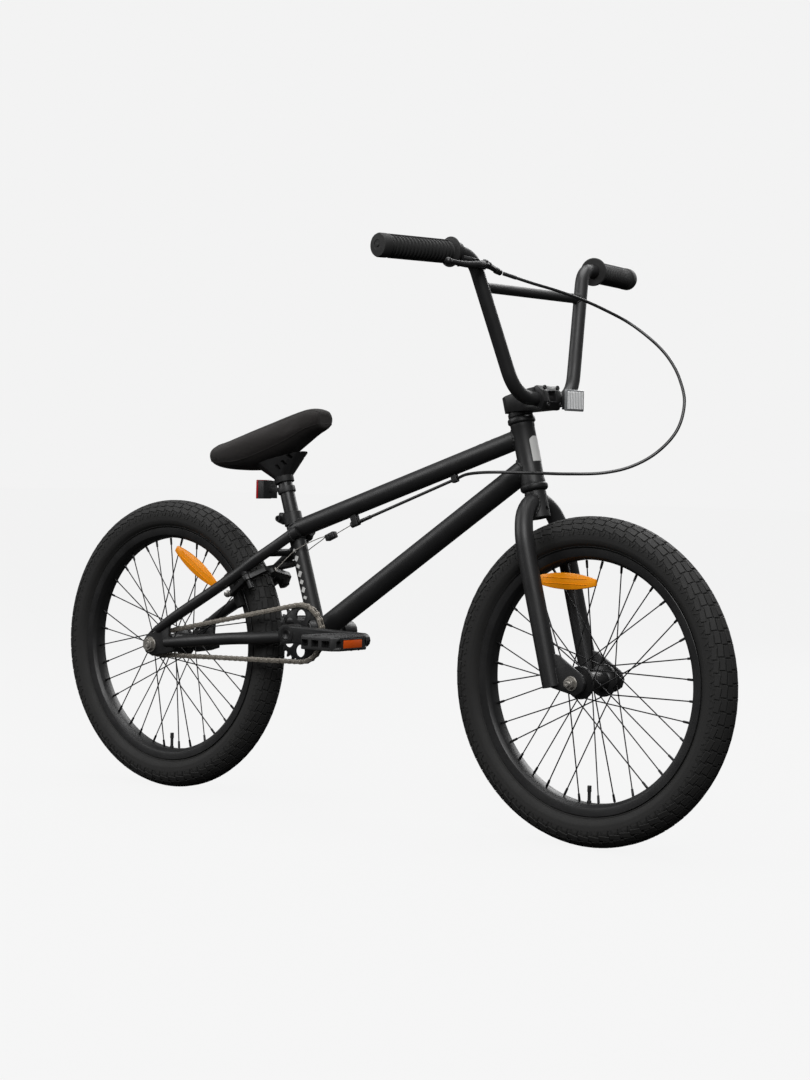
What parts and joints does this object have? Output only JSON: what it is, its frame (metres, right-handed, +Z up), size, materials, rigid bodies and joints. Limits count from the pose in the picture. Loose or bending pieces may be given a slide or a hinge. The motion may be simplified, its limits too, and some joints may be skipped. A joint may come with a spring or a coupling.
{
  "type": "bmx bike",
  "caption": "Matte black freestyle BMX bicycle with 20 inch spoked wheels, single-speed chain drive, rear U-brake, raised handlebar, padded seat and reflectors.",
  "frame": {"origin": "on the ground, midway between the two axles, in the bike's middle plane", "axes": "+X towards the front wheel, +Y to the rider's left, +Z up"},
  "size_m": [1.4282, 0.6846, 0.9428],
  "materials": {
    "frame_paint": "matte",
    "black_alloy": "satin",
    "black_steel": "satin",
    "dark_steel": "satin",
    "chain_steel": "satin",
    "tyre_rubber": "matte",
    "grip_rubber": "matte",
    "black_plastic": "matte",
    "cable_cover": "satin",
    "seat_cover": "matte",
    "amber_lens": "gloss",
    "red_lens": "gloss",
    "clear_lens": "gloss"
  },
  "bodies": {
    "frame": {"frame_front_triangle": "frame_paint", "frame_rear_triangle": "frame_paint", "headset_lower_cup": "black_alloy", "headset_upper_cup": "black_alloy", "right_bearing_cup": "black_alloy", "left_bearing_cup": "black_alloy", "seat_clamp_bolt": "black_steel", "rear_axle": "dark_steel", "rear_right_axle_nut": "dark_steel", "rear_left_axle_nut": "dark_steel", "drive_chain": "chain_steel", "brake_cable": "cable_cover", "cable_adjuster": "black_alloy", "brake_inner_wire": "dark_steel", "straddle_wire": "dark_steel"},
    "seat": {"seat_post": "frame_paint", "seat_base": "black_plastic", "seat_cushion": "seat_cover", "rear_reflector_bracket": "black_plastic", "rear_reflector_lens": "red_lens"},
    "steering": {"fork": "frame_paint", "headset_cover": "black_alloy", "stem_body": "black_alloy", "stem_faceplate": "black_alloy", "handlebar": "frame_paint", "right_grip": "grip_rubber", "left_grip": "grip_rubber", "brake_lever_bracket": "black_alloy", "front_reflector_bracket": "black_plastic", "front_reflector_lens": "clear_lens", "front_axle": "dark_steel", "front_right_axle_nut": "dark_steel", "front_left_axle_nut": "dark_steel"},
    "brake_lever": {"brake_lever_blade": "black_alloy"},
    "front_wheel": {"front_tyre": "tyre_rubber", "front_rim": "black_alloy", "front_spokes": "dark_steel", "front_hub": "black_alloy", "front_valve": "black_plastic", "front_wheel_reflector": "amber_lens"},
    "rear_wheel": {"rear_tyre": "tyre_rubber", "rear_rim": "black_alloy", "rear_spokes": "dark_steel", "rear_hub": "black_alloy", "rear_valve": "black_plastic", "rear_wheel_reflector": "amber_lens"},
    "driver": {"rear_driver": "dark_steel"},
    "crank": {"crank_spindle": "dark_steel", "sprocket": "black_steel", "right_crank_arm": "black_steel", "left_crank_arm": "black_steel", "right_pedal_axle": "dark_steel", "left_pedal_axle": "dark_steel"},
    "right_pedal": {"right_pedal_body": "black_plastic"},
    "left_pedal": {"left_pedal_body": "black_plastic"},
    "right_brake": {"right_brake_arm": "black_alloy", "right_brake_pad": "grip_rubber"},
    "left_brake": {"left_brake_arm": "black_alloy", "left_brake_pad": "grip_rubber"},
    "carrier": {"straddle_carrier": "black_alloy"}
  },
  "joints": [
    {"name": "steering_turn", "type": "hinge", "parent": "frame", "child": "steering", "pos_m": [0.4188, 0, 0.249], "axis": [-0.2554, 0, 0.9668], "range_deg": [-90, 90], "deforming": ["brake_cable"]},
    {"name": "front_wheel_spin", "type": "hinge", "parent": "steering", "child": "front_wheel", "pos_m": [0.4565, 0, 0.259], "axis": [0, 1, 0], "continuous": true},
    {"name": "rear_wheel_spin", "type": "hinge", "parent": "frame", "child": "rear_wheel", "pos_m": [-0.4565, 0, 0.259], "axis": [0, 1, 0], "continuous": true},
    {"name": "crank_spin", "type": "hinge", "parent": "frame", "child": "crank", "pos_m": [-0.112, 0, 0.3], "axis": [0, 1, 0], "continuous": true},
    {"name": "driver_spin", "type": "hinge", "parent": "frame", "child": "driver", "pos_m": [-0.4565, 0, 0.259], "axis": [0, 1, 0], "continuous": true},
    {"name": "right_pedal_spin", "type": "hinge", "parent": "crank", "child": "right_pedal", "pos_m": [0.048, -0.143, 0.3], "axis": [0, 1, 0], "continuous": true},
    {"name": "left_pedal_spin", "type": "hinge", "parent": "crank", "child": "left_pedal", "pos_m": [-0.272, 0.143, 0.3], "axis": [0, 1, 0], "continuous": true},
    {"name": "brake_lever_pull", "type": "hinge", "parent": "steering", "child": "brake_lever", "pos_m": [0.34, -0.15, 0.904], "axis": [-0.4472, 0, -0.8944], "range_deg": [0, 12], "stiffness_Nm_per_rad": 2, "springref_deg": -5.73},
    {"name": "right_brake_close", "type": "hinge", "parent": "frame", "child": "right_brake", "pos_m": [-0.25, -0.0435, 0.402], "axis": [0.5531, 0, -0.8331], "range_deg": [0, 2], "deforming": ["straddle_wire"]},
    {"name": "left_brake_close", "type": "hinge", "parent": "frame", "child": "left_brake", "pos_m": [-0.25, 0.0435, 0.402], "axis": [-0.5531, 0, 0.8331], "range_deg": [0, 2], "deforming": ["straddle_wire"]},
    {"name": "carrier_pull", "type": "slide", "parent": "frame", "child": "carrier", "axis": [0.9145, 0, 0.4046], "range_m": [0, 0.0025], "deforming": ["straddle_wire", "brake_inner_wire"]},
    {"name": "seat_height", "type": "slide", "parent": "frame", "child": "seat", "axis": [-0.3159, 0, 0.9488], "range_m": [-0.03, 0.04]}
  ],
  "couplings": [
    {"joint": "driver_spin", "follows": "crank_spin", "ratio": 2.6667},
    {"joint": "right_brake_close", "follows": "brake_lever_pull", "ratio": 0.16667},
    {"joint": "left_brake_close", "follows": "brake_lever_pull", "ratio": 0.16667},
    {"joint": "carrier_pull", "follows": "brake_lever_pull", "m_per_rad": 0.011937}
  ]
}
